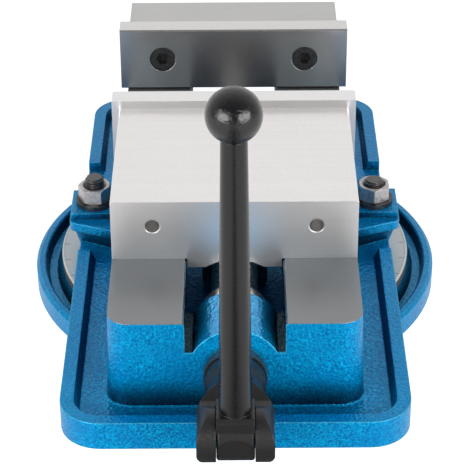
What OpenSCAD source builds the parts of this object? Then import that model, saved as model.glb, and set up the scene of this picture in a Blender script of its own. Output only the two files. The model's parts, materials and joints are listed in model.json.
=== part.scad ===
// Precision milling vise with 6 inch jaws on a round swivel base.
// All sizes are millimetres. X runs across the jaws, Y from the crank to the fixed jaw, Z up.
// The origin is the swivel axis on the underside of the base.

/* [Jaws] */
// Width of both hardened jaw plates
jaw_w = 152.4; // [120:0.1:180]
// Height of a jaw plate
plate_h = 43.2; // [38:0.1:50]
// Thickness of a jaw plate
plate_t = 14.3; // [13:0.1:18]
// Gap between a jaw plate and the ways below it
plate_lift = 0.5; // [0.2:0.1:1]
// Opening between the gripping faces as shown
jaw_gap = 87; // [20:1:120]
// Distance of the fixed gripping face from the swivel axis
fixed_face_y = 91.2; // [80:0.1:110]
// Spacing of the plate screws and of the tapped holes across the jaw
screw_pitch_x = 95.2; // [80:0.1:110]
// Height of the plate screws above the ways
plate_screw_up = 22.2; // [20:0.1:25]
// Edge chamfer of the ground plates and blocks
edge_c = 0.8; // [0.3:0.1:1.5]

/* [Fixed jaw block] */
// Width of the fixed block
fixed_w = 139.2; // [120:0.1:150]
// Depth of the fixed block at its top
fixed_t = 30.4; // [26:0.1:36]
// Depth of the fixed block's foot
foot_l = 40; // [38:0.5:48]
// Bolt spacing of the fixed block
fixed_bolt_x = 104; // [98:1:110]
// Length of a locating key
key_l = 36; // [25:1:40]
// Side of the square locating key
key_s = 8; // [6:0.5:9]
// Distance of a locating key from the block's front face
key_in = 3; // [2:0.5:5]
// Height of the foot at the back of the fixed block
foot_h = 8; // [6:0.5:12]
// Height where the foot's slope meets the back of the fixed block
foot_slope_h = 20; // [16:0.5:26]

/* [Movable jaw] */
// Width of the movable block
movable_w = 143.3; // [130:0.1:160]
// Length of the movable block
movable_l = 114.4; // [100:0.1:125]
// Height of the movable block above the ways
movable_h = 38.5; // [36:0.1:42]
// Depth of the keel that shows below the ways at the front
keel_h = 5.8; // [4:0.1:8]
// Length of the guide rails that run in the slot
rail_l = 68; // [60:1:72]
// Diameter of the tapped holes in the front face
front_hole_d = 8.5; // [7:0.1:10]
// Depth of the tapped holes in the front face
front_hole_l = 25; // [15:1:30]
// Room between the bearing boss and the keel
boss_room = 4; // [2:0.5:5]
// Radius of the half ball that presses the jaw forward and down
ball_r = 12; // [10:0.5:12.5]
// Height of the half ball's centre above the ways
ball_up = 7; // [6:0.5:8]
// Thickness of a hold-down plate
hold_t = 8; // [7:0.5:10]
// How far a hold-down plate reaches under the way
hold_reach = 6.2; // [4:0.1:7]

/* [Bed] */
// Height of the ways above the swivel seat
way_h = 67; // [64:0.5:75]
// Width over both ways
bed_w = 143.4; // [135:0.1:160]
// Distance of the front wall from the swivel axis, at the ways
bed_front = 192; // [180:1:205]
// Bed beyond the foot of the fixed block
rear_margin = 2.5; // [1:0.5:10]
// Draft of the cast walls over their height
draft = 2; // [0.5:0.5:3]
// Corner radius of the bed at the ways
bed_r = 12; // [6:1:16]
// Flare of the wall where it meets the flange
wall_foot = 1; // [0.5:0.5:5]
// Width of the slot between the ways
slot_w = 56.5; // [52:0.5:60]
// Thickness of the way ledge above the hold-down plates
ledge_t = 14.8; // [12:0.1:18]
// Depth of the undercut below each ledge
undercut = 7.75; // [7.5:0.05:10]
// Chamfer along the inner edge of each way
way_c = 1.2; // [0.5:0.1:2]

/* [Flange] */
// Flange beyond each side of the bed
flange_out = 27.9; // [25:0.1:32]
// Thickness of the flange under its trough
flange_t = 10.8; // [8:0.1:14]
// Flange in front of the front wall
apron_front = 27; // [22:0.5:35]
// Flange behind the bed
apron_rear = 21; // [16:0.5:30]
// Corner radius of the flange
flange_r = 24; // [16:1:30]
// Height of the coolant rim above the trough
rim_h = 7; // [4:0.1:10]
// Width of the coolant rim
rim_w = 7.9; // [6:0.1:10]
// Draft of the rim's inner side over its height
rim_draft = 3; // [1:0.5:4]
// Front rim stops at this distance before the swivel axis
rim_stop_front = 37; // [34:1:52]
// Rear rim starts at this distance behind the swivel axis
rim_stop_rear = 75; // [45:1:85]
// Height of the turned pad under the flange
pad_h = 1; // [0.5:0.1:2]

/* [Clamp lugs] */
// Distance of each clamp stud from the side of the bed
stud_out = 18.3; // [17.5:0.1:21]
// Height of the clamp seat above the trough
lug_up = 20.4; // [16:0.1:24]
// Height of the raised seat above the lug
seat_h = 4.5; // [2:0.1:5]
// Width of the raised seat
seat_w = 30; // [29:0.5:34]
// Thickness of the lug's plate
lug_t = 6; // [5:0.5:9]
// Taper of the lug's stem on each side
stem_in = 7; // [4:0.5:9]
// Overhang of the lug's plate over its stem
lug_lip = 2; // [0.8:0.1:3]
// Edge of the flange beside the lug's stem
stem_edge = 0.6; // [0.4:0.1:2]
// Lug width at its outer end
lug_w = 40; // [34:1:46]
// Lug width at the bed
lug_root_w = 73; // [64:1:80]
// Lug beyond the stud
lug_over = 16; // [14.5:0.1:18]
// Corner radius of the lug
lug_r = 6; // [3:0.5:8]
// Diameter of the clamp stud
stud_d = 12; // [10:0.5:12.5]
// Width across flats of the clamp nut
nut_af = 19; // [18:0.5:20]
// Height of the clamp nut
nut_h = 10; // [8:0.5:12]
// Outer diameter of the clamp washer
washer_d = 25; // [23:0.5:28]
// Thickness of the clamp washer
washer_t = 3; // [2:0.5:4]
// Countersink of the clamp nut's bore
nut_sink = 1.8; // [1:0.1:2.5]
// Turn of the left clamp nut as shown, in degrees
nut_turn_left = 54; // [0:1:60]
// Turn of the right clamp nut as shown, in degrees
nut_turn_right = 30; // [0:1:60]
// Stud end above the left nut
stud_over_left = 5.7; // [2:0.1:8]
// Stud end above the right nut
stud_over_right = 2.8; // [2:0.1:8]

/* [Swivel base] */
// Base beyond the graduated disc
base_over = 17; // [14:0.5:22]
// Height of the base at its turned disc
base_h = 21.8; // [21:0.1:26]
// Graduated disc beyond the circle of the clamp studs
disc_over = 23; // [20:0.5:26]
// Height of the base's outer rim
base_rim_h = 15.2; // [12:0.1:18]
// Chamfer of the base's cast outer edge
cast_c = 2; // [1:0.5:3]
// Chamfer of the turned edges
turned_c = 1; // [0.5:0.1:1.5]
// Width of the base's outer rim
base_rim_w = 6.5; // [5:0.5:8]
// Draft of the outer rim's inner side
groove_draft = 1.7; // [0.5:0.1:2.5]
// Height of the groove floor between rim and disc
groove_z = 8; // [6:0.5:9]
// Slope at the foot of the disc
disc_foot = 3.6; // [2:0.1:4.5]
// Width of the T-slot's mouth
tslot_w = 14; // [13.5:0.5:16]
// Width of the T-slot's cavity
tcavity_w = 25; // [24.5:0.5:27]
// Height of the T-slot's floor
tslot_floor = 6; // [4:0.5:7]
// Thickness of the lips over the T-slot
tslot_lip = 6.8; // [5:0.1:8]
// Width and length of a T-bolt head
thead_s = 22; // [20:0.5:22.5]
// Thickness of a T-bolt head
thead_t = 8; // [6:0.1:8.2]
// Radius of the centre pivot
pivot_r = 16; // [12:0.5:20]
// Distance of the hold-down slots from the edge of the base
ear_out = 14; // [13:0.5:20]
// Width of a hold-down ear
ear_w = 52; // [44:1:60]
// Thickness of a hold-down ear
ear_t = 14; // [10:0.5:15]
// Width of a hold-down slot
ear_slot_w = 17; // [13:0.5:18]
// Length of a hold-down slot
ear_slot_l = 26; // [20:0.5:28]

/* [Lead screw] */
// Height of the screw axis above the swivel seat
screw_up = 35.2; // [33:0.1:37]
// Diameter of the lead screw
screw_d = 28; // [24:0.5:30]
// Diameter of the plain journal
journal_d = 25; // [23:0.5:26]
// Width across flats of the driving hexagon
hex_af = 19; // [17:0.5:20]
// Length of the driving hexagon
hex_l = 21; // [18:0.5:22]
// Radius of the screw's thrust flange
thrust_r = 20.5; // [19:0.5:21]
// Length of the thrust flange
thrust_l = 7; // [5:0.5:8]
// Screw end before the fixed gripping face
screw_short = 11; // [6:0.5:20]
// Radius of the bearing boss in the front wall
boss_r = 27; // [25:0.5:28]
// Length of the bearing boss
boss_l = 40; // [35:0.5:45]
// Height of the web beside the boss above the screw axis
web_up = 12.5; // [10:0.5:16]
// Outer radius of the bronze bush
bush_r = 17; // [16:0.5:18]
// Bush in front of the wall
bush_proud = 0.4; // [0.2:0.1:1]
// Radius of the retaining collar
collar_r = 18; // [17.5:0.5:19]
// Length of the retaining collar
collar_l = 5.5; // [5:0.5:8]
// Thickness of a thrust race
race_t = 3; // [2:0.5:3.5]
// Outer radius of a thrust race
race_r = 21; // [20:0.5:21.5]
// Radius of a thrust ball
tball_r = 2.4; // [2:0.1:2.6]
// Number of thrust balls
tball_n = 12; // [8:1:14]

/* [Screw nut] */
// Width of the nut between the rails
nut_w = 40; // [37:0.5:42]
// Length of the nut
nut_l = 50; // [46:1:52]
// Nut above the screw axis
nut_up = 22; // [20:0.5:22]
// Nut below the screw axis
nut_down = 20.5; // [18:0.5:21]

/* [Crank] */
// Radius of the crank hub
hub_r = 17; // [16.5:0.5:18]
// Distance of the fold pin from the hub's rear face
pivot_reach = 50; // [48:1:56]
// Gap between the collar and the hub
hub_gap = 0.5; // [0.2:0.1:1]
// Length of the hub's cylindrical band
band_l = 8; // [5:0.5:10]
// Distance of the hub's waist from its rear face
waist_y = 13; // [11:0.5:15]
// Depth of the hub's waist
waist_in = 1.5; // [1.4:0.1:2.5]
// Fork's root in front of the flange
root_out = 0.5; // [0.3:0.1:2]
// Length of the flare from the waist to the fork's full width
flare_l = 14; // [8:0.5:15]
// Radius of the fork's turned blank
blank_r = 21.5; // [21.2:0.1:24]
// Height of the fork's neck above the screw axis
neck_up = 9.5; // [8:0.5:12]
// Width over the fork cheeks
fork_w = 42; // [38:0.5:43]
// Radius of the fork's rounded end
fork_r = 15; // [13:0.5:17]
// Width of the lever's tang
tang_w = 20.6; // [18:0.1:22]
// Radius of the lever's barrel around the pin
tang_r = 14; // [12:0.5:14.5]
// Length of the cones at the barrel's ends
barrel_cone = 1; // [0.5:0.1:3]
// How much smaller the barrel is at its ends
barrel_in = 1; // [0.5:0.1:3]
// Depth of the flat on the barrel's front
barrel_flat = 1.2; // [0.5:0.1:2]
// Radius of the flat's arched upper end
arch_r = 13; // [11:0.5:16]
// Height of the arch's crown above the fold pin
arch_up = 5.5; // [3:0.1:6]
// Diameter of the fold pin
fold_pin_d = 10; // [8:0.5:12]
// Height of the lever's shoulder above the fold pin
shoulder_up = 17; // [16:0.5:22]
// Lever's shoulder inside the barrel's radius
shoulder_in = 3; // [2:0.5:4]
// Radius of the lever at the shoulder
lever_r1 = 9.1; // [8:0.1:10]
// Radius of the lever under the ball
lever_r2 = 6.8; // [5.5:0.1:7.5]
// Height of the ball's centre above the fold pin
ball_knob_up = 194; // [150:1:220]
// Radius of the lever's spigot inside the ball
spigot_r = 4.3; // [3:0.1:5]
// Length of the lever's spigot
spigot_l = 11; // [8:0.5:14]
// Radius of the ball knob
knob_r = 14.3; // [12:0.1:18]

/* [Fits] */
// Radial clearance of running fits
run_gap = 0.05; // [0.02:0.01:0.1]
// Radial clearance of seats that do not turn
seat_gap = 0.02; // [0.01:0.01:0.05]
// Clearance of flat guided faces
slide_gap = 0.3; // [0.1:0.05:0.5]
// Film between the movable jaw and the ways
film = 0.03; // [0.01:0.01:0.1]

/* [Hidden] */
$fn = 96;

stud_x = bed_w / 2 + stud_out;
flange_w = bed_w + 2 * flange_out;
disc_r = stud_x + disc_over;
base_r = disc_r + base_over;
ear_y = base_r + ear_out;
way_z = base_h + way_h;
flange_z = base_h + pad_h;
trough_z = flange_z + flange_t;
screw_z = base_h + screw_up;
lug_z = trough_z + lug_up;
block_y = fixed_face_y + plate_t;
jaw_y = fixed_face_y - jaw_gap - plate_t;
bed_rear = block_y + foot_l + rear_margin;
flange_front = bed_front + apron_front;
flange_rear = bed_rear + apron_rear;
fixed_h = plate_lift + plate_h;
wall_y = -bed_front + boss_l;
undercut_x = slot_w / 2 + undercut;

// Socket head cap screw sizes, M10 for the plates, M12 for the fixed block and M4 for the hold-downs
plate_screw_d = 10;
plate_head_d = 16;
plate_head_h = 10;
plate_bore_d = 17.5;
plate_thread_l = 20;
plate_key_af = 8;
block_bolt_d = 12;
block_head_d = 18;
block_head_h = 12;
block_thread_l = 15;
block_key_af = 10;
hold_screw_d = 4;
hold_head_d = 7;
hold_head_h = 4;
hold_thread_l = 8;
hold_key_af = 3;
set_screw_d = 3;
hole_slack = 0.75;
head_sink = 0.5;
hole_over = 2;

// Places along the screw, from the front
bush_front = -bed_front - draft - bush_proud;
collar_rear = bush_front - 2 * run_gap;
collar_front = collar_rear - collar_l;
hub_rear = collar_front - hub_gap;
race1_y = wall_y;
ball_gap = 2 * tball_r + 2 * run_gap;
race2_y = race1_y + race_t + ball_gap;
thrust_y = race2_y + race_t;
thread_y = thrust_y + thrust_l;
screw_end = fixed_face_y - screw_short;
fold_y = hub_rear - pivot_reach;
root_y = hub_rear + flange_front + root_out;
cheek_y = root_y + flare_l;
knob_seat = ball_knob_up - sqrt(knob_r * knob_r - lever_r2 * lever_r2);

// Movable jaw frame: Y 0 at its rear face, Z 0 on the ways
bar_gap = 4;
axis_up = screw_z - way_z;
nut_top = axis_up + nut_up;
bar_bottom = nut_top + 2 * slide_gap;
ball_back = ball_r + bar_gap;
face_at = -ball_back - ball_up;
horn_room = 10;
horn_top = ball_up + 0.85 * ball_r;
pocket_top = horn_top + bar_gap;
pocket_wall = 3.5;
rail_rear = -2 * pocket_wall;
nut_rear = rail_rear - hole_over;
horn_in = 7;
horn_front = nut_rear - nut_l + horn_in;
pocket_front = horn_front - horn_room;
rail_in = nut_w / 2 + slide_gap;
rail_out = slot_w / 2 - slide_gap;
rail_x = (rail_in + rail_out) / 2;
rail_bottom = -ledge_t - slide_gap;
hold_front = rail_rear - rail_l + hole_over;
hold_l = rail_l - hole_over;
hold_screw_ys = [for (i = [0 : 2]) hold_front + (i + 0.5) * hold_l / 3];

// Extrude a shape drawn in Y and Z over the width w
module across(w) {
    translate([-w / 2, 0, 0]) rotate([90, 0, 90]) linear_extrude(height = w) children();
}

// Extrude a shape drawn in X and Z from y0 to y1
module along(y0, y1) {
    translate([0, y1, 0]) rotate([90, 0, 0]) linear_extrude(height = y1 - y0) children();
}

// Put a part drawn about Z onto the screw axis, its zero at y
module on_screw(y) {
    translate([0, y, screw_z]) rotate([-90, 0, 0]) children();
}

// Plate with rounded corners between y0 and y1
module slab(w, y0, y1, r, h) {
    translate([-w / 2 + r, y0, 0]) cube([w - 2 * r, y1 - y0, h]);
    translate([-w / 2, y0 + r, 0]) cube([w, y1 - y0 - 2 * r, h]);
    for (x = [-w / 2 + r, w / 2 - r])
        for (y = [y0 + r, y1 - r])
            translate([x, y, 0]) cylinder(r = r, h = h);
}

module ring(r_out, r_in, h) {
    difference() {
        cylinder(r = r_out, h = h);
        translate([0, 0, -1]) cylinder(r = r_in, h = h + 2);
    }
}

module hexagon(af, h) {
    cylinder(d = af / cos(30), h = h, $fn = 6);
}

// Cap screw along +Z with its head below zero
module cap_screw(d, head_d, head_h, l, key_af) {
    difference() {
        union() {
            translate([0, 0, -head_h]) cylinder(d = head_d, h = head_h);
            cylinder(d = d, h = l);
        }
        translate([0, 0, -head_h - 1]) hexagon(key_af, head_h * 0.55 + 1);
    }
}

// Slot with round ends, its length along Y
module obround(w, l, h) {
    translate([-w / 2, -(l - w) / 2, 0]) cube([w, l - w, h]);
    for (y = [-(l - w) / 2, (l - w) / 2]) translate([0, y, 0]) cylinder(d = w, h = h);
}

// Jaw plate with its back at Y 0, gripping face towards -Y, Z 0 on the ways
module jaw_plate() {
    difference() {
        translate([0, 0, plate_lift]) across(jaw_w)
            polygon([
                [0, 0], [0, plate_h], [-plate_t + edge_c, plate_h], [-plate_t, plate_h - edge_c],
                [-plate_t, edge_c], [-plate_t + edge_c, 0]
            ]);
        for (x = [-screw_pitch_x / 2, screw_pitch_x / 2])
            translate([x, 0, plate_screw_up]) rotate([90, 0, 0]) {
                translate([0, 0, -1]) cylinder(d = plate_screw_d + hole_slack, h = plate_t + 2);
                translate([0, 0, plate_t - plate_head_h - head_sink])
                    cylinder(d = plate_bore_d, h = plate_head_h + 2);
            }
    }
}

// Screw of a jaw plate in the same frame as jaw_plate
module plate_screw(side) {
    grip = plate_t - plate_head_h - head_sink;
    translate([side * screw_pitch_x / 2, -grip, plate_screw_up]) rotate([-90, 0, 0])
        cap_screw(plate_screw_d, plate_head_d, plate_head_h, grip + plate_thread_l, plate_key_af);
}

// Swivel base with its T-slot, graduated disc and two slotted ears

module swivel_base() {
    rim_in = base_r - base_rim_w;
    cavity_h = base_h - tslot_floor - tslot_lip;
    color("steelblue") difference() {
        union() {
            rotate_extrude()
                polygon([
                    [0, 0], [base_r - turned_c, 0], [base_r, turned_c], [base_r, base_rim_h - cast_c],
                    [base_r - cast_c, base_rim_h], [rim_in + turned_c, base_rim_h],
                    [rim_in, base_rim_h - turned_c], [rim_in - groove_draft, groove_z],
                    [disc_r + disc_foot, groove_z], [disc_r, groove_z + 2 * disc_foot],
                    [disc_r, base_h - turned_c], [disc_r - turned_c, base_h], [0, base_h]
                ]);
            for (s = [-1, 1]) {
                translate([-ear_w / 2, s > 0 ? base_r - base_rim_w / 2 : -ear_y, 0])
                    cube([ear_w, ear_out + base_rim_w / 2, ear_t]);
                translate([0, s * ear_y, 0]) difference() {
                    cylinder(d = ear_w, h = ear_t);
                    translate([-ear_w, s > 0 ? -ear_w : 0, -1]) cube([2 * ear_w, ear_w, ear_t + 2]);
                }
            }
        }
        rotate_extrude() translate([stud_x - tcavity_w / 2, tslot_floor]) square([tcavity_w, cavity_h]);
        rotate_extrude() translate([stud_x - tslot_w / 2, tslot_floor + 1]) square([tslot_w, base_h]);
        translate([0, stud_x, tslot_floor]) cylinder(d = thead_s * sqrt(2) + slide_gap, h = base_h);
        translate([0, 0, tslot_floor]) cylinder(r = pivot_r + run_gap, h = base_h);
        for (s = [-1, 1]) translate([0, s * ear_y, -1]) obround(ear_slot_w, ear_slot_l, ear_t + 2);
    }
}

// Bed casting: flange with coolant rims, drafted walls, ways, clamp lugs and bearing boss

module lug_plan(inset, x_end) {
    y_end = lug_w / 2 - inset;
    y_root = lug_root_w / 2 - inset;
    x_root = bed_w / 2 - bed_r;
    polygon([[x_root, -y_root], [x_end - lug_r, -y_end], [x_end - lug_r, y_end], [x_root, y_root]]);
    translate([x_end - lug_r - 0.01, -y_end + lug_r]) square([lug_r + 0.01, 2 * (y_end - lug_r)]);
    for (y = [-y_end + lug_r, y_end - lug_r]) translate([x_end - lug_r, y]) circle(r = lug_r);
}

module lug() {
    x_end = stud_x + lug_over;
    x_root = bed_w / 2 - bed_r;
    plate_z = lug_z - seat_h - lug_t;
    hull() translate([0, 0, plate_z]) linear_extrude(height = lug_t) lug_plan(0, x_end, $fn = 32);
    hull() {
        translate([0, 0, plate_z]) linear_extrude(height = 1) lug_plan(lug_lip, x_end - lug_lip, $fn = 32);
        translate([0, 0, flange_z]) linear_extrude(height = flange_t)
            lug_plan(stem_in, flange_w / 2 - stem_edge, $fn = 32);
    }
    translate([x_root, -seat_w / 2, plate_z + 1]) cube([x_end - x_root - edge_c, seat_w, lug_t + seat_h - 1]);
}

// Plan of the flange made smaller by d all round
module flange_plan(d, h) {
    slab(flange_w - 2 * d, -flange_front + d, flange_rear - d, flange_r - d, h);
}

module coolant_rim() {
    difference() {
        flange_plan(0, flange_t + rim_h);
        hull() {
            translate([0, 0, flange_t]) flange_plan(rim_w + rim_draft, 0.1, $fn = 32);
            translate([0, 0, flange_t + rim_h]) flange_plan(rim_w, 1, $fn = 32);
        }
        translate([-flange_w, -rim_stop_front, flange_t])
            cube([2 * flange_w, rim_stop_front + rim_stop_rear, rim_h + 1]);
    }
}

// Plan of the bed made larger by d all round
module bed_plan(d, h) {
    slab(bed_w + 2 * d, -bed_front - d, bed_rear + d, bed_r + d, h, $fn = 32);
}

module bed_walls() {
    hull() {
        translate([0, 0, way_z - 1]) bed_plan(0, 1);
        translate([0, 0, trough_z - 1]) bed_plan(draft, 1);
    }
    hull() {
        translate([0, 0, trough_z + 2 * wall_foot]) bed_plan(0, 0.1);
        translate([0, 0, trough_z - 1]) bed_plan(draft + wall_foot, 1);
    }
}

// Slot between the ways with its undercuts, drawn in X and Z
module slot_shape() {
    ledge_z = way_z - ledge_t;
    polygon([
        [-undercut_x, trough_z], [undercut_x, trough_z], [undercut_x, ledge_z], [slot_w / 2, ledge_z],
        [slot_w / 2, way_z - way_c], [slot_w / 2 + way_c, way_z], [slot_w / 2 + way_c, way_z + 5],
        [-slot_w / 2 - way_c, way_z + 5], [-slot_w / 2 - way_c, way_z], [-slot_w / 2, way_z - way_c],
        [-slot_w / 2, ledge_z], [-undercut_x, ledge_z]
    ]);
}

// Notch over the bearing boss, drawn in X and Z
module notch_shape() {
    polygon([
        [-slot_w / 2, screw_z + web_up], [slot_w / 2, screw_z + web_up], [slot_w / 2, way_z - way_c],
        [slot_w / 2 + way_c, way_z], [slot_w / 2 + way_c, way_z + 5], [-slot_w / 2 - way_c, way_z + 5],
        [-slot_w / 2 - way_c, way_z], [-slot_w / 2, way_z - way_c]
    ]);
}

module vise_body() {
    front = -bed_front - draft - wall_foot - 1;
    key_x = fixed_bolt_x / 2;
    color("steelblue") difference() {
        union() {
            translate([0, 0, flange_z]) coolant_rim();
            intersection() {
                translate([0, 0, base_h]) cylinder(r = disc_r - 1, h = pad_h + 1);
                translate([-flange_w / 2, -disc_r, base_h]) cube([flange_w, 2 * disc_r, pad_h + 1]);
            }
            bed_walls();
            lug();
            mirror([1, 0, 0]) lug();
        }
        along(wall_y, bed_rear + draft + wall_foot + 1) slot_shape();
        difference() {
            along(front, wall_y + 0.01) notch_shape();
            on_screw(front - 1) cylinder(r = boss_r, h = wall_y - front + 2);
        }
        on_screw(front - 1) cylinder(r = bush_r + seat_gap, h = wall_y - front + 2);
        translate([0, 0, base_h - 1]) cylinder(r = pivot_r + seat_gap, h = trough_z - base_h + 2);
        for (s = [-1, 1]) {
            translate([s * stud_x, 0, base_h - 1]) cylinder(d = stud_d + 2 * hole_slack, h = lug_z);
            translate([s * key_x, block_y + foot_l / 2, flange_z - 1]) {
                cylinder(d = block_bolt_d + 2 * hole_slack, h = way_h + 5);
                cylinder(d = block_head_d + 2 * hole_slack, h = block_head_h + hole_over + 1);
            }
            translate([s * key_x - key_l / 2 - seat_gap, block_y + key_in - seat_gap, way_z - key_s / 2])
                cube([key_l + 2 * seat_gap, key_s + 2 * seat_gap, key_s]);
        }
    }
}

module pivot_pin() {
    pin_l = trough_z - tslot_floor - hole_over;
    color("dimgray") translate([0, 0, tslot_floor + hole_over]) {
        cylinder(r1 = pivot_r - turned_c, r2 = pivot_r, h = turned_c);
        translate([0, 0, turned_c]) cylinder(r = pivot_r, h = pin_l - turned_c);
    }
}

// Fixed jaw: block, keys, bolts, plate and plate screws

module fixed_jaw() {
    color("silver") translate([0, block_y, way_z]) difference() {
        across(fixed_w)
            polygon([
                [0, 0], [foot_l, 0], [foot_l, foot_h], [fixed_t, foot_slope_h],
                [fixed_t, fixed_h - edge_c], [fixed_t - edge_c, fixed_h], [0, fixed_h]
            ]);
        for (s = [-1, 1]) {
            translate([s * screw_pitch_x / 2, -1, plate_screw_up]) rotate([-90, 0, 0])
                cylinder(d = plate_screw_d + 2 * seat_gap, h = plate_thread_l + hole_over + 1);
            translate([s * fixed_bolt_x / 2, foot_l / 2, -1])
                cylinder(d = block_bolt_d + 2 * seat_gap, h = block_thread_l + hole_over + 1);
            translate([s * fixed_bolt_x / 2 - key_l / 2 - seat_gap, key_in - seat_gap, -1])
                cube([key_l + 2 * seat_gap, key_s + 2 * seat_gap, key_s / 2 + 1]);
        }
    }
}

module fixed_jaw_key(side) {
    color("dimgray") translate([side * fixed_bolt_x / 2 - key_l / 2, block_y + key_in, way_z - key_s / 2])
        cube([key_l, key_s, key_s]);
}

module fixed_jaw_bolt(side) {
    seat_z = flange_z + block_head_h + hole_over;
    color("dimgray") translate([side * fixed_bolt_x / 2, block_y + foot_l / 2, seat_z])
        cap_screw(block_bolt_d, block_head_d, block_head_h, way_z + block_thread_l - seat_z, block_key_af);
}

module fixed_jaw_plate() {
    color("lightgray") translate([0, block_y, way_z]) jaw_plate();
}

module fixed_plate_screw(side) {
    color("dimgray") translate([0, block_y, way_z]) plate_screw(side);
}

// Swivel clamps: T-bolts in the slot of the base, washers and nuts on the lugs

module t_bolt(side, over) {
    head_z = base_h - tslot_lip - thead_t;
    top_z = lug_z + washer_t + nut_h + over;
    color("dimgray") translate([side * stud_x, 0, 0]) {
        translate([-thead_s / 2, -thead_s / 2, head_z]) cube([thead_s, thead_s, thead_t]);
        translate([0, 0, head_z + 1]) cylinder(d = stud_d, h = top_z - head_z - turned_c - 1);
        translate([0, 0, top_z - turned_c]) cylinder(d1 = stud_d, d2 = stud_d - 2 * turned_c, h = turned_c);
    }
}

module clamp_washer(side) {
    color("gray") translate([side * stud_x, 0, lug_z]) ring(washer_d / 2, stud_d / 2 + 0.5, washer_t);
}

module clamp_nut(side, turn) {
    corner = nut_af / sqrt(3);
    edge = nut_h - turned_c;
    color("gray") translate([side * stud_x, 0, lug_z + washer_t]) rotate([0, 0, turn]) difference() {
        intersection() {
            hexagon(nut_af, nut_h);
            rotate_extrude()
                polygon([
                    [0, 0], [nut_af / 2, 0], [corner, turned_c], [corner, edge],
                    [nut_af / 2, nut_h], [0, nut_h]
                ]);
        }
        translate([0, 0, -1]) cylinder(r = stud_d / 2 + run_gap, h = nut_h + 2);
        translate([0, 0, nut_h - nut_sink])
            cylinder(d1 = stud_d, d2 = stud_d + 4 * nut_sink, h = 2 * nut_sink);
    }
}

// Lead screw with its bush, thrust bearing and collar

module screw_bush() {
    color("peru") on_screw(bush_front) ring(bush_r, journal_d / 2 + run_gap, wall_y - bush_front);
}

module thrust_race_front() {
    color("silver") on_screw(race1_y) ring(race_r, journal_d / 2 + 0.5, race_t);
}

module thrust_race_rear() {
    color("silver") on_screw(race2_y) ring(race_r, journal_d / 2 + seat_gap, race_t);
}

tball_ring = (race_r + journal_d / 2) / 2;

module thrust_cage() {
    cage_t = tball_r;
    color("peru") on_screw(race1_y + race_t + (ball_gap - cage_t) / 2) difference() {
        ring(race_r - 0.5, journal_d / 2 + 0.6, cage_t);
        for (i = [0 : tball_n - 1])
            rotate([0, 0, i * 360 / tball_n]) translate([tball_ring, 0, -1])
                cylinder(r = tball_r + run_gap, h = cage_t + 2);
    }
}

module thrust_balls() {
    color("silver") on_screw(race1_y + race_t + ball_gap / 2)
        for (i = [0 : tball_n - 1])
            rotate([0, 0, i * 360 / tball_n]) translate([tball_ring, 0, 0]) sphere(r = tball_r);
}

module lead_screw() {
    color("silver") {
        on_screw(collar_front - hex_l) hexagon(hex_af, hex_l + 1);
        on_screw(0) rotate_extrude()
            polygon([
                [0, collar_front], [journal_d / 2 - edge_c, collar_front],
                [journal_d / 2, collar_front + edge_c], [journal_d / 2, thrust_y], [thrust_r, thrust_y],
                [thrust_r, thread_y], [screw_d / 2, thread_y], [screw_d / 2, screw_end - cast_c],
                [screw_d / 2 - cast_c, screw_end], [0, screw_end]
            ]);
    }
}

collar_mid = (collar_front + collar_rear) / 2;

module retaining_collar() {
    color("dimgray") difference() {
        on_screw(collar_front) ring(collar_r, journal_d / 2 + seat_gap, collar_l);
        translate([0, collar_mid, screw_z]) cylinder(d = set_screw_d + 2 * seat_gap, h = collar_r + 1);
    }
}

module collar_set_screw() {
    screw_l = collar_r - journal_d / 2 - head_sink;
    color("black") translate([0, collar_mid, screw_z + journal_d / 2]) difference() {
        cylinder(d = set_screw_d, h = screw_l);
        translate([0, 0, screw_l / 2]) hexagon(set_screw_d / 2, screw_l);
    }
}

// Folding crank: hub with fork, pin, lever and ball

// Turned blank of the hub and fork, its radius against the distance from the hub's rear face
module hub_turning() {
    waist = hub_r - waist_in;
    fork_end = pivot_reach + fork_r + 1;
    polygon([
        [0, 0], [hub_r - turned_c, 0], [hub_r, turned_c], [hub_r, band_l],
        [hub_r - turned_c, (band_l + waist_y) / 2], [waist, waist_y], [waist, root_y],
        [blank_r, cheek_y], [blank_r, fork_end], [0, fork_end]
    ]);
}

// Side of the hub and fork, drawn in Y and Z
module fork_side() {
    root = hub_r + 1;
    polygon([
        [1, -root], [1, root], [-root_y + 1, root], [-cheek_y, neck_up], [-pivot_reach, neck_up],
        [-pivot_reach, -neck_up], [-cheek_y, -neck_up], [-root_y + 1, -root]
    ]);
    translate([-pivot_reach, 0]) circle(r = fork_r);
}

module crank_hub() {
    slot_y = -pivot_reach + tang_r + 2 * slide_gap;
    color("dimgray") translate([0, hub_rear, screw_z]) difference() {
        intersection() {
            rotate([90, 0, 0]) rotate_extrude() hub_turning();
            across(fork_w) fork_side();
        }
        translate([-tang_w / 2 - slide_gap, -pivot_reach - 2 * fork_r, -2 * fork_r])
            cube([tang_w + 2 * slide_gap, pivot_reach + 2 * fork_r + slot_y, 4 * fork_r]);
        rotate([90, 0, 0]) translate([0, 0, -1]) hexagon(hex_af + 2 * seat_gap, hex_l + 1.5);
        translate([-fork_w, -pivot_reach, 0]) rotate([0, 90, 0])
            cylinder(d = fold_pin_d + 2 * seat_gap, h = 2 * fork_w);
    }
}

module fold_pin() {
    color("gray") translate([-fork_w / 2, fold_y, screw_z]) rotate([0, 90, 0])
        cylinder(d = fold_pin_d, h = fork_w);
}

// Barrel around the fold pin, its radius against the distance from the middle
module barrel_turning() {
    end = tang_w / 2;
    polygon([
        [0, -end], [tang_r - barrel_in, -end], [tang_r, -end + barrel_cone], [tang_r, end - barrel_cone],
        [tang_r - barrel_in, end], [0, end]
    ]);
}

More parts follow.
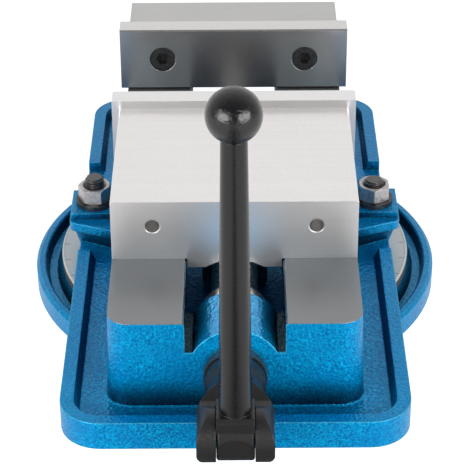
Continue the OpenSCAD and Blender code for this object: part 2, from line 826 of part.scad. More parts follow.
module crank_lever() {
    half = tang_r - shoulder_in;
    color("dimgray") translate([0, fold_y, screw_z]) difference() {
        union() {
            difference() {
                rotate([0, 90, 0]) rotate_extrude() barrel_turning();
                translate([0, -tang_r + barrel_flat, arch_up - arch_r]) rotate([90, 0, 0])
                    cylinder(r = arch_r, h = tang_r);
            }
            across(tang_w)
                polygon([
                    [-half, 0], [half, 0], [half, shoulder_up - cast_c], [half - cast_c, shoulder_up],
                    [-half + cast_c, shoulder_up], [-half, shoulder_up - cast_c]
                ]);
            translate([0, 0, shoulder_up - 1])
                cylinder(r1 = lever_r1, r2 = lever_r2, h = knob_seat - shoulder_up + 1);
            translate([0, 0, knob_seat - 1]) cylinder(r = spigot_r, h = spigot_l + 1);
        }
        translate([-tang_w, 0, 0]) rotate([0, 90, 0])
            cylinder(d = fold_pin_d + 2 * run_gap, h = 2 * tang_w);
    }
}

module ball_knob() {
    color("black") translate([0, fold_y, screw_z + ball_knob_up]) difference() {
        sphere(r = knob_r);
        translate([-knob_r, -knob_r, -2 * knob_r - ball_knob_up + knob_seat]) cube(2 * knob_r);
        translate([0, 0, knob_seat - ball_knob_up - 1])
            cylinder(r = spigot_r + seat_gap, h = spigot_l + head_sink + 1);
    }
}

// Movable jaw: block with keel and rails, plate, nut, half ball and hold-downs

module movable_frame() {
    translate([0, jaw_y, way_z]) children();
}

// Block with chamfered top edges, drawn in X and Z
module movable_shape() {
    half = movable_w / 2;
    polygon([
        [-half, film], [half, film], [half, movable_h - edge_c], [half - edge_c, movable_h],
        [-half + edge_c, movable_h], [-half, movable_h - edge_c]
    ]);
}

// Pocket for the nut's horn, drawn in Y and Z
module pocket_shape() {
    bar_at = face_at + bar_gap;
    low = 2 * axis_up;
    polygon([
        [pocket_front, low], [bar_at + bar_bottom, low], [bar_at + bar_bottom, bar_bottom],
        [-pocket_wall, -pocket_wall - bar_at], [-pocket_wall, pocket_top], [pocket_front, pocket_top]
    ]);
}

module movable_jaw() {
    keel_w = slot_w - 4 * slide_gap;
    front_l = movable_l + rail_rear - rail_l;
    color("silver") movable_frame() difference() {
        union() {
            along(-movable_l, 0) movable_shape();
            translate([-keel_w / 2, -movable_l, -keel_h]) cube([keel_w, front_l, keel_h + 1]);
            for (s = [-1, 1])
                translate([s * rail_x - (rail_out - rail_in) / 2, rail_rear - rail_l, rail_bottom])
                    cube([rail_out - rail_in, rail_l, 1 - rail_bottom]);
            translate([-rail_x, rail_rear - rail_l / 2, bar_bottom])
                cube([2 * rail_x, rail_l / 2, 1 - bar_bottom]);
        }
        across(2 * rail_in) pocket_shape();
        translate([0, -movable_l - 1, axis_up]) rotate([-90, 0, 0])
            cylinder(r = boss_r + boss_room, h = front_l + 1);
        translate([0, -ball_back, ball_up]) sphere(r = ball_r + run_gap);
        translate([0, -movable_l - 1, ball_up + 1]) rotate([-90, 0, 0])
            cylinder(d = plate_screw_d + 2 * seat_gap, h = movable_l + pocket_front + 2);
        for (s = [-1, 1]) {
            translate([s * screw_pitch_x / 2, -movable_l - 1, plate_screw_up]) rotate([-90, 0, 0])
                cylinder(d = front_hole_d, h = front_hole_l + 1);
            translate([s * screw_pitch_x / 2, 1, plate_screw_up]) rotate([90, 0, 0])
                cylinder(d = plate_screw_d + 2 * seat_gap, h = plate_thread_l + hole_over + 1);
            for (y = hold_screw_ys)
                translate([s * rail_x, y, rail_bottom - 1])
                    cylinder(d = hold_screw_d + 2 * seat_gap, h = hold_thread_l + hole_over);
        }
    }
}

module movable_jaw_plate() {
    color("lightgray") movable_frame() mirror([0, 1, 0]) jaw_plate();
}

module movable_plate_screw(side) {
    color("dimgray") movable_frame() mirror([0, 1, 0]) plate_screw(side);
}

// Nut body with its leaning horn, drawn in Y and Z
module horn_shape() {
    root = nut_top - 3;
    polygon([
        [horn_front, root], [face_at + nut_top, root], [face_at + nut_top, nut_top],
        [face_at + horn_top, horn_top],
        [horn_front + bar_gap, horn_top], [horn_front, horn_top - bar_gap]
    ]);
}

module screw_nut() {
    color("darkgoldenrod") movable_frame() difference() {
        union() {
            translate([-nut_w / 2, nut_rear - nut_l, axis_up - nut_down])
                cube([nut_w, nut_l, nut_up + nut_down]);
            across(nut_w) horn_shape();
        }
        translate([0, nut_rear - nut_l - 1, axis_up]) rotate([-90, 0, 0])
            cylinder(d = screw_d + 2 * run_gap, h = nut_l + 2);
    }
}

module half_ball() {
    color("silver") movable_frame() translate([0, -ball_back, ball_up]) rotate([45, 0, 0]) difference() {
        sphere(r = ball_r);
        translate([-2 * ball_r, -2 * ball_r, 0]) cube(4 * ball_r);
    }
}

module jaw_adjust_screw() {
    start = -movable_l + plate_head_h / 2;
    color("black") movable_frame() translate([0, start, ball_up + 1]) rotate([-90, 0, 0]) difference() {
        cylinder(d = plate_screw_d, h = horn_front - start);
        translate([0, 0, -1]) hexagon(plate_screw_d / 2, plate_screw_d / 2 + 1);
    }
}

module hold_down_plate(side) {
    color("gray") movable_frame() difference() {
        translate([side > 0 ? rail_in : -slot_w / 2 - hold_reach, hold_front, rail_bottom - hold_t])
            cube([slot_w / 2 + hold_reach - rail_in, hold_l, hold_t]);
        for (y = hold_screw_ys)
            translate([side * rail_x, y, rail_bottom - hold_t - 1]) {
                cylinder(d = hold_screw_d + hole_slack, h = hold_t + 2);
                cylinder(d = hold_head_d + hole_slack, h = hold_head_h + head_sink + 1);
            }
    }
}

module hold_down_screws(side) {
    seat = hold_head_h + head_sink;
    color("black") movable_frame()
        for (y = hold_screw_ys)
            translate([side * rail_x, y, rail_bottom - hold_t + seat])
                cap_screw(hold_screw_d, hold_head_d, hold_head_h, hold_t - seat + hold_thread_l, hold_key_af);
}

swivel_base();
vise_body();
pivot_pin();
fixed_jaw();
fixed_jaw_key(-1);  // fixed_jaw_key_left
fixed_jaw_key(1);  // fixed_jaw_key_right
fixed_jaw_bolt(-1);  // fixed_jaw_bolt_left
fixed_jaw_bolt(1);  // fixed_jaw_bolt_right
fixed_jaw_plate();
fixed_plate_screw(-1);  // fixed_plate_screw_left
fixed_plate_screw(1);  // fixed_plate_screw_right
screw_bush();
thrust_race_front();
t_bolt(-1, stud_over_left);  // t_bolt_left
t_bolt(1, stud_over_right);  // t_bolt_right
clamp_washer(-1);  // clamp_washer_left
clamp_washer(1);  // clamp_washer_right
clamp_nut(-1, nut_turn_left);  // clamp_nut_left
clamp_nut(1, nut_turn_right);  // clamp_nut_right
thrust_cage();
thrust_balls();
lead_screw();
thrust_race_rear();
retaining_collar();
collar_set_screw();
crank_hub();
fold_pin();
crank_lever();
ball_knob();
movable_jaw();
movable_jaw_plate();
movable_plate_screw(-1);  // movable_plate_screw_left
movable_plate_screw(1);  // movable_plate_screw_right
screw_nut();
half_ball();
jaw_adjust_screw();
hold_down_plate(-1);  // hold_down_plate_left
hold_down_plate(1);  // hold_down_plate_right
hold_down_screws(-1);  // hold_down_screws_left
hold_down_screws(1);  // hold_down_screws_right
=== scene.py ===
import json
import math

import bmesh
import bpy
from mathutils import Matrix, Vector


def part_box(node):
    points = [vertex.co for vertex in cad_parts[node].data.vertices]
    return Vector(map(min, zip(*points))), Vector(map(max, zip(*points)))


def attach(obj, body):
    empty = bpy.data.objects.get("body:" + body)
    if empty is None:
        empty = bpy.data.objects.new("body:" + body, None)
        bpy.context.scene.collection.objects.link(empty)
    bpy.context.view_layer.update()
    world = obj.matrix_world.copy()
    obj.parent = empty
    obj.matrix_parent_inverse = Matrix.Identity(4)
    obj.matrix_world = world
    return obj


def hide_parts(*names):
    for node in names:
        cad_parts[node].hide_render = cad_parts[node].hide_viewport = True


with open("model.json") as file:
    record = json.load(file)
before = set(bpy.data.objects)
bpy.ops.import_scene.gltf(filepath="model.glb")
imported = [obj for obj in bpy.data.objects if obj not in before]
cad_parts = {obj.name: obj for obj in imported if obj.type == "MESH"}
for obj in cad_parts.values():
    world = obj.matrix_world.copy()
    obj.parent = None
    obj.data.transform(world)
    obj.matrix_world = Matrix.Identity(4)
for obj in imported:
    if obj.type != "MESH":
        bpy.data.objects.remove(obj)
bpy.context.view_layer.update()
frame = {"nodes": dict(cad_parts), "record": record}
record = frame["record"]
finish_of = {part["node"]: part["material_slot"] for part in record["subparts"]}
body_of = {
    node: body for body, members in record["behaviour"]["bodies"].items() for node in members
}
SIDES = ("left", "right")

# Bed, base and crank, in metres
MM = 0.001
WAY_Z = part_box("vise_body")[1].z
SLOT_HALF = 28.25 * MM
WAY_CHAMFER = 1.2 * MM
NOTCH_Z = 69.5 * MM
NOTCH_FRONT = -191.8 * MM
LEDGE_INNER = 23.8 * MM
DISC_R = 113 * MM
DISC_Z = 21.8 * MM
DISC_SIDE_Z = 15.4 * MM
TURNED_CHAMFER = 1 * MM
HOLE_X = 47.6 * MM
HOLE_Z = 111 * MM
HOLE_RIM = 6 * MM
SHOULDER_Z = 74 * MM

# Degrees from one graduation line to the next, length and width of the line
TICKS = ((1, 2.5 * MM, 0.22 * MM), (10, 5 * MM, 0.5 * MM))

# Threaded pieces
ROUND = 64
CHAMFER = 0.8 * MM
SCREW_Z = 57 * MM
SCREW_R = 14 * MM
SCREW_LEAD = 5 * MM
SCREW_DEPTH = 2.6 * MM
SCREW_TIP = 2 * MM
FLANGE_L = 7 * MM
JOURNAL_R = 12.5 * MM
HEXAGON_R = 19 / math.sqrt(3) * MM
STUD_R = 6 * MM
STUD_PITCH = 1.75 * MM
STUD_DEPTH = 1.05 * MM
STUD_THREAD = 24 * MM
STUD_TIP = 1 * MM
STUD_RUNOUT = 1 * MM
STUD_SUNK = 1 * MM
T_HEAD_H = 8 * MM
LEFT_HAND = -1
RIGHT_HAND = 1

# Shares of the pitch where a thread's crest ends, its root begins and its root ends
CREST_END = 0.36
ROOT_BEGIN = 0.5
ROOT_END = 0.86

# Vertices of a piece this close become one, and edges sharper than this stay sharp
WELD = 0.001 * MM
SHARP = math.radians(30)

# How far a mask reaches past a face, and how deep under it
SLACK = 0.2 * MM
SKIN = 0.3 * MM

# Edge radii that the shader gives to casting, ground steel, forging and hole rims
CAST_EDGE = 1.4 * MM
GROUND_EDGE = 0.35 * MM
FORGED_EDGE = 0.9 * MM
HOLE_EDGE = 1.3 * MM
SHADER_SAMPLES = 6

# Reach of the painted shade in a corner
CORNER = 22 * MM

# Colours, linear
WHITE = (1, 1, 1, 1)
PAINT_DEEP = (0.0, 0.085, 0.30)
PAINT_MIDDLE = (0.0, 0.19, 0.50)
PAINT_LIGHT = (0.0, 0.48, 0.89)
# Pale cyan painted highlight for the outer edges of the blue paint
PAINT_EDGE_HIGHLIGHT = (0.15, 0.75, 0.95)
PAINT_TINT = (0.1, 0.65, 1.0, 1.0)
# Near-black painted shade for the corners of the blue paint
PAINTED_SHADE = (0.001, 0.01, 0.022)
# Dark colour of the disc's graduation lines, and painted shade on its side band
LINES_AND_SHADE = (0.06, 0.05, 0.045)
# Near-black painted shade for the slot's guide faces
SLOT_SHADE = (0.004, 0.004, 0.005)
WAY_TONE = (0.33, 0.31, 0.3)
DISC_TONE = (0.74, 0.7, 0.65)
DULL_BLACK = (0.009, 0.009, 0.009)
FLOOR_TONE = (0.85, 0.85, 0.85)
FLOOR_MIRRORED = (0.2, 0.2, 0.2)

# Roughness from and to
PAINT_ROUGH = (0.34, 0.2)
WAY_ROUGH = (0.34, 0.42)
DISC_ROUGH = (0.42, 0.52)
DULL_ROUGH = 0.34

# How metallic paint, ways and disc are
PAINT_METAL = 0.25
WAY_METAL = 1.0
DISC_METAL = 0.5

# Texture scales, per metre
PAINT_GRAIN = 1500
PAINT_FLECK = 620
PAINT_BLOTCH = 45
PAINT_CELLS = 450
STEEL_GRAIN = 1300
STEEL_CLOUD = 25
GRINDING = (3, 900, 900)
GRINDING_BROAD = 0.05
FACING = (400, 400, 400)
TURNING = (120, 1500, 120)
MOTTLE = 90
WEAR = 40

# The photograph's camera
IMAGE_PX = 470
FOCAL_PX = 1924.93
SENSOR = 36
CLIP = (0.01, 100)
CAMERA_AT = Vector((0.00028, -1.07394, 0.69134))
CAMERA_PITCH = math.radians(31.70)
CAMERA_ROLL = math.radians(-0.33)

# Studio: lamps, then the strengths of world and floor
LAMP_AIM = Vector((0, -0.05, 0.08))
LAMP_SIZE = (1.1, 0.65)
LAMP_WATTS = 15.5
LAMP_AT = {"left": Vector((-0.9, -1.12, 0.55)), "right": Vector((0.9, -1.12, 0.55))}
WORLD_FILL = 0.12
WORLD_WALL = 1.0
WORLD_FRONT_GLOSS = 0.2
FLOOR_HALF = 6
FLOOR_GLOW = 0.82
FLOOR_GLOSS = 0.9
FLOOR_STRIP = (0.01, 0.13)


def add(tree, kind, inputs=None, **settings):
    """Adds a shader node, sets its properties, and fills its inputs with values or links."""
    made = tree.nodes.new("ShaderNode" + kind)
    for key, value in settings.items():
        setattr(made, key, value)
    for key, value in (inputs or {}).items():
        if isinstance(value, bpy.types.NodeSocket):
            tree.links.new(value, made.inputs[key])
        else:
            made.inputs[key].default_value = value
    return made


def math_node(tree, operation, a, b=0.0):
    return add(tree, "Math", {0: a, 1: b}, operation=operation).outputs[0]


def times(tree, a, b):
    return math_node(tree, "MULTIPLY", a, b)


def mix_number(tree, share, a, b):
    inputs = {"Factor": share, "A": a, "B": b}
    return add(tree, "Mix", inputs, data_type="FLOAT").outputs["Result"]


def mix_vector(tree, share, a, b):
    """A Mix node has its vectors on the inputs 4 and 5 and the output 1."""
    return add(tree, "Mix", {0: share, 4: a, 5: b}, data_type="VECTOR").outputs[1]


def mix_colour(tree, share, a, b):
    """A Mix node has its colours on the inputs 6 and 7 and the output 2."""
    inputs = {0: share}
    for key, value in ((6, a), (7, b)):
        inputs[key] = value if isinstance(value, bpy.types.NodeSocket) else (*value, 1)
    return add(tree, "Mix", inputs, data_type="RGBA").outputs[2]


def shade(tone, share):
    return tuple(share * x for x in tone)


def ramp(tree, value, low, high):
    """Maps value from low..high to 0..1 and stays within it."""
    inputs = {"Value": value, "From Min": low, "From Max": high}
    return add(tree, "MapRange", inputs).outputs["Result"]


def noise(tree, coords, scale, detail, stretch=None):
    if stretch:
        coords = add(tree, "Mapping", {"Vector": coords, "Scale": stretch}).outputs["Vector"]
    inputs = {"Vector": coords, "Scale": scale, "Detail": detail}
    return add(tree, "TexNoise", inputs).outputs["Fac"]


def bump(tree, height, strength, distance, under):
    inputs = {"Height": height, "Strength": strength, "Distance": distance, "Normal": under}
    return add(tree, "Bump", inputs).outputs["Normal"]


def rounded(tree, radius):
    """Normal with the edges rounded to that radius."""
    return add(tree, "Bevel", {"Radius": radius}, samples=SHADER_SAMPLES).outputs["Normal"]


def new_material(name, **constants):
    """A principled material, its shader's fixed numbers set on the shader's own sockets."""
    made = bpy.data.materials.new(name)
    made.use_nodes = True
    tree = made.node_tree
    shader = tree.nodes["Principled BSDF"]
    for socket, value in constants.items():
        shader.inputs[socket.replace("_", " ")].default_value = value
    coords = add(tree, "TexCoord").outputs["Object"]
    return made, tree, shader, coords


def plug(tree, shader, **sockets):
    for name, socket in sockets.items():
        tree.links.new(socket, shader.inputs[name.replace("_", " ")])


def place(tree, vector):
    """X, Y and Z sockets of a vector."""
    parts = add(tree, "SeparateXYZ", {"Vector": vector})
    return parts.outputs["X"], parts.outputs["Y"], parts.outputs["Z"]


def between(tree, value, low, high):
    """1 where value lies between low and high."""
    above = math_node(tree, "GREATER_THAN", value, low)
    return times(tree, above, math_node(tree, "LESS_THAN", value, high))


def distance_socket(tree, a, b):
    """Length of the flat vector (a, b)."""
    return math_node(tree, "SQRT", math_node(tree, "ADD", times(tree, a, a), times(tree, b, b)))


def openness(tree):
    """How much of its surroundings a point sees, from 0 in a narrow corner to 1."""
    made = add(
        tree, "AmbientOcclusion", {"Distance": CORNER}, samples=SHADER_SAMPLES, only_local=True
    )
    return made.outputs["AO"]


def painted_corner_shade(tree, sky, blotch):
    """Share of painted shade in the corners of faces that don't look up."""
    upward = place(tree, add(tree, "NewGeometry").outputs["True Normal"])[2]
    steep = ramp(tree, upward, 0.75, 0.5)
    deep = ramp(tree, sky, 0.88, 0.58)
    uneven = math_node(tree, "ADD", times(tree, blotch, 0.3), 0.85)
    return times(tree, steep, times(tree, deep, uneven))


def painted_edge_highlight(tree, sky, edges):
    """Share of painted highlight along the outer edges, kept to edges that stand open."""
    flat = add(tree, "NewGeometry").outputs["True Normal"]
    turn = add(tree, "VectorMath", {0: flat, 1: edges}, operation="DOT_PRODUCT").outputs["Value"]
    glint_share = times(tree, ramp(tree, turn, 0.95, 0.8), ramp(tree, sky, 0.75, 0.95))
    return times(tree, glint_share, 0.7)


def paint_layers(tree, coords, edges):
    """Colour, roughness and normal of the blue hammer paint."""
    grain = noise(tree, coords, PAINT_GRAIN, 2.0)
    fleck = noise(tree, coords, PAINT_FLECK, 3.0)
    blotch = noise(tree, coords, PAINT_BLOTCH, 2.0)
    sky = openness(tree)
    share = ramp(tree, grain, 0.36, 0.64)
    colour = mix_colour(tree, share, PAINT_DEEP, PAINT_LIGHT)
    colour = mix_colour(tree, ramp(tree, fleck, 0.5, 0.85), colour, PAINT_DEEP)
    colour = mix_colour(tree, ramp(tree, blotch, 0.45, 1.0), colour, PAINT_MIDDLE)
    # Painted highlight along the outer edges
    colour = mix_colour(tree, painted_edge_highlight(tree, sky, edges), colour, PAINT_EDGE_HIGHLIGHT)
    # Painted shade in the corners
    colour = mix_colour(tree, painted_corner_shade(tree, sky, blotch), colour, PAINTED_SHADE)
    roughness = mix_number(tree, share, *PAINT_ROUGH)
    cells = add(tree, "TexVoronoi", {"Vector": coords, "Scale": PAINT_CELLS}).outputs["Distance"]
    normal = bump(tree, cells, 0.6, 0.5 * MM, edges)
    return colour, roughness, bump(tree, grain, 0.4, 0.15 * MM, normal)


def steel_layers(tree, coords, edges, tone, rough, lines=GRINDING):
    """Colour, roughness and normal of machined steel with fine lines."""
    line = noise(tree, coords, 1.0, 4.0, lines)
    broad = noise(tree, coords, 1.0, 2.0, shade(lines, GRINDING_BROAD))
    cloud = noise(tree, coords, STEEL_CLOUD, 3.0)
    grain = noise(tree, coords, STEEL_GRAIN, 2.0)
    colour = mix_colour(tree, ramp(tree, line, 0.3, 0.7), shade(tone, 0.94), tone)
    colour = mix_colour(tree, ramp(tree, broad, 0.3, 1.2), colour, shade(tone, 0.94))
    colour = mix_colour(tree, ramp(tree, grain, 0.5, 1.0), colour, shade(tone, 0.8))
    roughness = mix_number(tree, ramp(tree, cloud, 0.3, 0.7), *rough)
    return colour, roughness, bump(tree, line, 0.06, 0.03 * MM, edges)


def paint_and_steel(name, bare, steel, metal, dark_colour, dark_mask):
    """Hammer paint, steel where the mask bare is 1, and a dark colour by the last mask: painted
    shade, and on the base also its graduation lines.
    """
    made, tree, shader, coords = new_material(
        name, Specular_Tint=PAINT_TINT, Specular_IOR_Level=0.8
    )
    mask = bare(tree, coords)
    edges = rounded(tree, mix_number(tree, mask, CAST_EDGE, GROUND_EDGE))
    paint = paint_layers(tree, coords, edges)
    layers = steel(tree, coords, edges)
    colour = mix_colour(tree, mask, paint[0], layers[0])
    plug(
        tree, shader,
        # The dark colour by its mask is painted shade, and on the base also graduation lines
        Base_Color=mix_colour(tree, dark_mask(tree, coords), colour, dark_colour),
        Metallic=mix_number(tree, mask, PAINT_METAL, metal),
        Roughness=mix_number(tree, mask, paint[1], layers[1]),
        Normal=mix_vector(tree, mask, paint[2], layers[2]),
    )
    return made


def way_steel(tree, coords, edges):
    return steel_layers(tree, coords, edges, WAY_TONE, WAY_ROUGH)


def disc_steel(tree, coords, edges):
    return steel_layers(tree, coords, edges, DISC_TONE, DISC_ROUGH, FACING)


def bare_ways(tree, coords):
    """1 on the ground tops of the ways."""
    return math_node(tree, "GREATER_THAN", place(tree, coords)[2], WAY_Z - SKIN)


def slot_shade(tree, coords):
    """1 on the slot's guide faces, their chamfers and the ledges in the front wall's notch, which
    take a near-black painted shade.
    """
    x, y, z = place(tree, coords)
    aside = math_node(tree, "ABSOLUTE", x)
    inner = between(tree, aside, LEDGE_INNER, SLOT_HALF + WAY_CHAMFER + SLACK)
    deep = between(tree, z, NOTCH_Z - SKIN, WAY_Z - SLACK / 2)
    within = times(tree, deep, math_node(tree, "GREATER_THAN", y, NOTCH_FRONT))
    return times(tree, inner, within)


def bare_disc(tree, coords):
    """1 on the turned disc of the base, from its side band up."""
    x, y, z = place(tree, coords)
    within = math_node(tree, "LESS_THAN", distance_socket(tree, x, y), DISC_R + SLACK)
    return times(tree, within, math_node(tree, "GREATER_THAN", z, DISC_SIDE_Z))


def graduation_and_side_shade(tree, coords):
    """1 on the graduation lines at the disc's edge, and less on its side band as painted shade.
    """
    x, y, z = place(tree, coords)
    radius = distance_socket(tree, x, y)
    angle = math_node(tree, "ARCTAN2", y, x)
    marks = 0.0
    for degrees, length, width in TICKS:
        step = math.radians(degrees)
        turn = math_node(tree, "DIVIDE", angle, step)
        nearest = math_node(tree, "ROUND", turn)
        off = math_node(tree, "ABSOLUTE", math_node(tree, "SUBTRACT", turn, nearest))
        line = math_node(tree, "LESS_THAN", off, width / 2 / (DISC_R * step))
        reach = between(tree, radius, DISC_R - length, DISC_R - TURNED_CHAMFER)
        marks = math_node(tree, "MAXIMUM", marks, times(tree, line, reach))
    marks = times(tree, marks, math_node(tree, "GREATER_THAN", z, DISC_Z - SLACK))
    # The side band is darkened as painted shade
    band = between(tree, z, DISC_SIDE_Z, DISC_Z - TURNED_CHAMFER)
    side = times(tree, band, between(tree, radius, DISC_R - SKIN, DISC_R + SLACK))
    return math_node(tree, "MAXIMUM", marks, times(tree, side, 0.8))


def near_holes(tree, coords):
    """Edge radius of the movable jaw: larger on the rims of the two holes in its front."""
    x, _, z = place(tree, coords)
    across = math_node(tree, "SUBTRACT", math_node(tree, "ABSOLUTE", x), HOLE_X)
    off = distance_socket(tree, across, math_node(tree, "SUBTRACT", z, HOLE_Z))
    return mix_number(tree, math_node(tree, "LESS_THAN", off, HOLE_RIM), GROUND_EDGE, HOLE_EDGE)


def plain_edge(tree, coords):
    return GROUND_EDGE


def steel_material(name, tone, rough, metallic=1.0, edge=plain_edge):
    """Ground steel. The function edge gives the radius of its edges."""
    made, tree, shader, coords = new_material(name, Metallic=metallic)
    edges = rounded(tree, edge(tree, coords))
    colour, roughness, normal = steel_layers(tree, coords, edges, tone, rough)
    plug(tree, shader, Base_Color=colour, Roughness=roughness, Normal=normal)
    return made


def black_tone(tree, grain, wear, tone):
    colour = mix_colour(tree, ramp(tree, grain, 0.3, 0.75), tone, shade(tone, 1.7))
    return mix_colour(tree, ramp(tree, wear, 0.55, 1.2), colour, shade(tone, 2.2))


def black_material(
    name, tone, rough, scale, relief, edge=GROUND_EDGE, metallic=0.0, gloss=0.35, dull_z=None
):
    """Dark finish with a grain of that scale and relief. It is duller below the height dull_z."""
    made, tree, shader, coords = new_material(name, Metallic=metallic, Specular_IOR_Level=gloss)
    grain = noise(tree, coords, scale, 3.0)
    wear = noise(tree, coords, WEAR, 4.0)
    colour = black_tone(tree, grain, wear, tone)
    roughness = mix_number(tree, ramp(tree, grain, 0.3, 0.7), rough, rough + 0.12)
    if dull_z is not None:
        low = math_node(tree, "LESS_THAN", place(tree, coords)[2], dull_z)
        colour = mix_colour(tree, low, colour, black_tone(tree, grain, wear, DULL_BLACK))
        roughness = mix_number(tree, low, roughness, DULL_ROUGH)
    normal = bump(tree, grain, 0.5, relief, rounded(tree, edge))
    plug(tree, shader, Base_Color=colour, Roughness=roughness, Normal=normal)
    return made


def turned_material(name, tone, rough):
    """Machined metal with fine turning lines along its length and a mottled tone."""
    made, tree, shader, coords = new_material(name, Metallic=1.0)
    line = noise(tree, coords, 1.0, 3.0, TURNING)
    mottle = noise(tree, coords, MOTTLE, 4.0)
    colour = mix_colour(tree, ramp(tree, mottle, 0.3, 0.7), shade(tone, 0.75), tone)
    roughness = mix_number(tree, ramp(tree, line, 0.3, 0.7), rough, rough + 0.15)
    normal = bump(tree, line, 0.15, 0.05 * MM, rounded(tree, GROUND_EDGE))
    plug(tree, shader, Base_Color=colour, Roughness=roughness, Normal=normal)
    return made


def dress(obj, made):
    obj.data.materials.clear()
    obj.data.materials.append(made)


def link(name, data):
    """A new object in the scene."""
    obj = bpy.data.objects.new(name, data)
    bpy.context.scene.collection.objects.link(obj)
    return obj


def photo_camera():
    data = bpy.data.cameras.new("camera")
    data.sensor_width = SENSOR
    data.lens = FOCAL_PX / IMAGE_PX * SENSOR
    data.clip_start, data.clip_end = CLIP
    obj = link("camera", data)
    tilt = Matrix.Rotation(math.pi / 2 - CAMERA_PITCH, 4, "X")
    roll = Matrix.Rotation(CAMERA_ROLL, 4, "Z")
    obj.matrix_world = Matrix.Translation(CAMERA_AT) @ tilt @ roll
    bpy.context.scene.camera = obj


def softbox(side):
    name = "softbox_" + side
    data = bpy.data.lights.new(name, "AREA")
    data.shape = "RECTANGLE"
    data.size, data.size_y = LAMP_SIZE
    data.energy = LAMP_WATTS
    obj = link(name, data)
    obj.location = LAMP_AT[side]
    obj.rotation_mode = "QUATERNION"
    obj.rotation_quaternion = (LAMP_AIM - LAMP_AT[side]).to_track_quat("-Z", "Y")


def seen(tree, plain, gloss, other):
    """plain for rays from the camera or through glass, gloss for reflections, else other."""
    path = add(tree, "LightPath").outputs
    straight = math_node(tree, "MAXIMUM", path["Is Camera Ray"], path["Is Transmission Ray"])
    indirect = mix_number(tree, path["Is Glossy Ray"], other, gloss)
    return mix_number(tree, straight, indirect, plain)


def white_world():
    """White surroundings, a pale wall behind the vise. Gloss sees them darker in front of it."""
    world = bpy.data.worlds.new("studio")
    bpy.context.scene.world = world
    world.use_nodes = True
    tree = world.node_tree
    background = tree.nodes["Background"]
    background.inputs["Color"].default_value = WHITE
    _, y, z = place(tree, add(tree, "TexCoord").outputs["Generated"])
    behind = times(tree, ramp(tree, y, 0.0, 0.4), ramp(tree, z, 0.55, 0.35))
    light = mix_number(tree, behind, WORLD_FILL, WORLD_WALL)
    gloss = mix_number(tree, ramp(tree, y, -0.4, 0.7), WORLD_FRONT_GLOSS, 1.0)
    tree.links.new(seen(tree, 1.0, gloss, light), background.inputs["Strength"])


def white_floor():
    """White floor that keeps the shadow. Reflections see a dim strip along its middle."""
    half = FLOOR_HALF
    corners = [(-half, -half, 0), (half, -half, 0), (half, half, 0), (-half, half, 0)]
    mesh = bpy.data.meshes.new("floor")
    mesh.from_pydata(corners, [], [(0, 1, 2, 3)])
    obj = link("floor", mesh)
    made, tree, shader, coords = new_material(
        "floor_white", Roughness=0.8, Specular_IOR_Level=0.1, Emission_Color=WHITE
    )
    aside = math_node(tree, "ABSOLUTE", place(tree, coords)[0])
    gloss = mix_number(tree, ramp(tree, aside, *FLOOR_STRIP), 0.0, FLOOR_GLOSS)
    plug(
        tree, shader,
        Base_Color=mix_colour(tree, seen(tree, 0.0, 1.0, 0.0), FLOOR_TONE, FLOOR_MIRRORED),
        Emission_Strength=seen(tree, FLOOR_GLOW, gloss, 0.0),
    )
    mesh.materials.append(made)


def ring_of(bm, radius, z, count):
    angles = [math.tau * i / count for i in range(count)]
    return [bm.verts.new((radius * math.cos(a), radius * math.sin(a), z)) for a in angles]


def lathe(bm, profile, count=ROUND, low_end=True, high_end=True):
    """Surface of revolution about Z from (radius, z) points, with a flat face on closed ends."""
    rings = [ring_of(bm, radius, z, count) for radius, z in profile]
    for low, high in zip(rings, rings[1:]):
        for i in range(count):
            j = (i + 1) % count
            bm.faces.new((low[i], low[j], high[j], high[i]))
    if low_end:
        bm.faces.new(list(reversed(rings[0])))
    if high_end:
        bm.faces.new(rings[-1])


def thread(bm, radius, depth, pitch, start, end, hand):
    """Trapezoid thread about Z that runs out to its root at both ends."""
    root = radius - depth
    outline = ((0.0, radius), (CREST_END, radius), (ROOT_BEGIN, root), (ROOT_END, root))
    turns = math.ceil((end - start) / pitch) + 2
    rows = [(start + (k - 1 + share) * pitch, r) for k in range(turns) for share, r in outline]
    columns = []
    for i in range(ROUND + 1):
        angle = math.tau * i / ROUND
        climb = hand * pitch * i / ROUND + (pitch if hand == LEFT_HAND else 0)
        column = []
        for z, r in rows:
            level = z + climb
            if not start < level < end:
                level, r = min(max(level, start), end), root
            column.append(bm.verts.new((r * math.cos(angle), r * math.sin(angle), level)))
        columns.append(column)
    for left, right in zip(columns, columns[1:]):
        for k in range(len(rows) - 1):
            bm.faces.new((left[k], right[k], right[k + 1], left[k + 1]))


def piece(name, bm, node, made, at, turn=Matrix.Identity(4)):
    """Puts a finished mesh at its place, on its node's body and in its node's stead."""
    bmesh.ops.remove_doubles(bm, verts=bm.verts, dist=WELD)
    bmesh.ops.recalc_face_normals(bm, faces=bm.faces)
    mesh = bpy.data.meshes.new(name)
    bm.to_mesh(mesh)
    bm.free()
    mesh.transform(Matrix.Translation(at) @ turn)
    mesh.shade_smooth()
    mesh.set_sharp_from_angle(angle=SHARP)
    mesh.materials.append(made)
    obj = link(name, mesh)
    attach(obj, body_of[node])
    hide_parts(node)


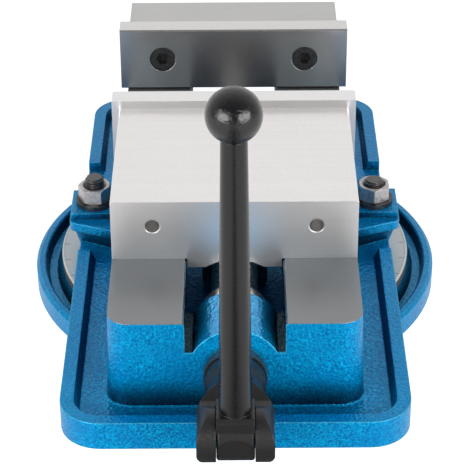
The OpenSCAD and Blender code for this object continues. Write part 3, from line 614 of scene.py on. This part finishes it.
def lead_screw(made):
    """Lead screw with its left-hand thread, thrust flange, journal and driving hexagon."""
    low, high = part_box("lead_screw")
    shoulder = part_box("thrust_race_rear")[1].y
    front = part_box("retaining_collar")[0].y
    flange_r = (high.x - low.x) / 2
    root = SCREW_R - SCREW_DEPTH
    start = shoulder + FLANGE_L
    end = high.y - SCREW_TIP
    bm = bmesh.new()
    lathe(bm, [
        (JOURNAL_R - CHAMFER, front), (JOURNAL_R, front + CHAMFER), (JOURNAL_R, shoulder),
        (flange_r - CHAMFER, shoulder), (flange_r, shoulder + CHAMFER),
        (flange_r, start - CHAMFER), (flange_r - CHAMFER, start), (root, start),
    ], high_end=False)
    thread(bm, SCREW_R, SCREW_DEPTH, SCREW_LEAD, start, end, LEFT_HAND)
    lathe(bm, [(root, end), (root, high.y)], low_end=False)
    lathe(bm, [(HEXAGON_R, low.y), (HEXAGON_R, front + CHAMFER)], 6)
    along_y = Matrix.Rotation(-math.pi / 2, 4, "X")
    piece("lead_screw_threaded", bm, "lead_screw", made, (0, 0, SCREW_Z), along_y)


def t_bolt(side, made):
    """T-bolt with a chamfered head and a threaded stud."""
    node = "t_bolt_" + side
    low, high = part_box(node)
    middle = (low + high) / 2
    head_top = low.z + T_HEAD_H
    bm = bmesh.new()
    size = Matrix.Diagonal((high.x - low.x, high.y - low.y, T_HEAD_H, 1))
    lift = Matrix.Translation((0, 0, low.z + T_HEAD_H / 2))
    bmesh.ops.create_cube(bm, size=1.0, matrix=lift @ size)
    bmesh.ops.bevel(
        bm, geom=bm.edges[:], offset=CHAMFER, segments=2, affect="EDGES", profile=0.5
    )
    root = STUD_R - STUD_DEPTH
    start = high.z - STUD_THREAD
    end = high.z - STUD_TIP
    shank = [(STUD_R, head_top - STUD_SUNK), (STUD_R, start - STUD_RUNOUT), (root, start)]
    lathe(bm, shank, high_end=False)
    thread(bm, STUD_R, STUD_DEPTH, STUD_PITCH, start, end, RIGHT_HAND)
    lathe(bm, [(root, end), (root, high.z)], low_end=False)
    piece(node + "_threaded", bm, node, made, (middle.x, middle.y, 0))


# Finishes by the record's slots, and those of single nodes
finishes = {
    "ground_steel": steel_material("ground_steel", (0.74, 0.725, 0.715), (0.34, 0.4)),
    "hardened_steel": steel_material("hardened_steel", (0.82, 0.81, 0.805), (0.3, 0.36)),
    "black_oxide": black_material(
        "black_oxide", (0.02, 0.02, 0.02), rough=0.24, scale=900, relief=0.015 * MM,
        metallic=0.3, gloss=0.8,
    ),
    "black_paint": black_material(
        "black_paint", (0.004, 0.004, 0.0045), rough=0.18, scale=900, relief=0.08 * MM,
        edge=FORGED_EDGE, gloss=0.45, dull_z=SHOULDER_Z,
    ),
    "black_plastic": black_material(
        "black_plastic", (0.003, 0.003, 0.004), rough=0.1, scale=750, relief=0.5 * MM, gloss=0.58
    ),
    "bronze": turned_material("bronze", (0.55, 0.37, 0.18), 0.3),
    "nut_iron": turned_material("nut_iron", (0.32, 0.31, 0.30), 0.4),
}
special = {
    "vise_body": paint_and_steel(
        "blue_bed", bare_ways, way_steel, WAY_METAL, SLOT_SHADE, slot_shade
    ),
    "swivel_base": paint_and_steel(
        "blue_base", bare_disc, disc_steel, DISC_METAL, LINES_AND_SHADE, graduation_and_side_shade
    ),
    "crank_hub": black_material(
        "hub_black", DULL_BLACK, DULL_ROUGH, scale=900, relief=0.08 * MM, edge=FORGED_EDGE,
        gloss=0.45,
    ),
    "fixed_jaw": steel_material("fixed_jaw_steel", (0.52, 0.515, 0.51), (0.3, 0.38)),
    "fixed_jaw_plate": steel_material(
        "fixed_plate_steel", (0.68, 0.665, 0.655), (0.2, 0.26), metallic=0.95
    ),
    "movable_jaw": steel_material(
        "movable_jaw_steel", (0.86, 0.84, 0.83), (0.32, 0.38), metallic=0.9, edge=near_holes
    ),
}
nut_finish = black_material(
    "phosphated_nut", (0.38, 0.36, 0.355), rough=0.36, scale=500, relief=0.12 * MM, metallic=0.9
)
stud_finish = black_material(
    "stud_steel", (0.09, 0.085, 0.082), rough=0.3, scale=700, relief=0.06 * MM, metallic=0.8
)

for side in SIDES:
    special["clamp_nut_" + side] = nut_finish
for name, obj in frame["nodes"].items():
    dress(obj, special.get(name) or finishes[finish_of[name]])
for side in SIDES:
    t_bolt(side, stud_finish)
lead_screw(finishes["ground_steel"])

photo_camera()
for side in SIDES:
    softbox(side)
white_world()
white_floor()
bpy.context.scene.view_settings.view_transform = "Standard"
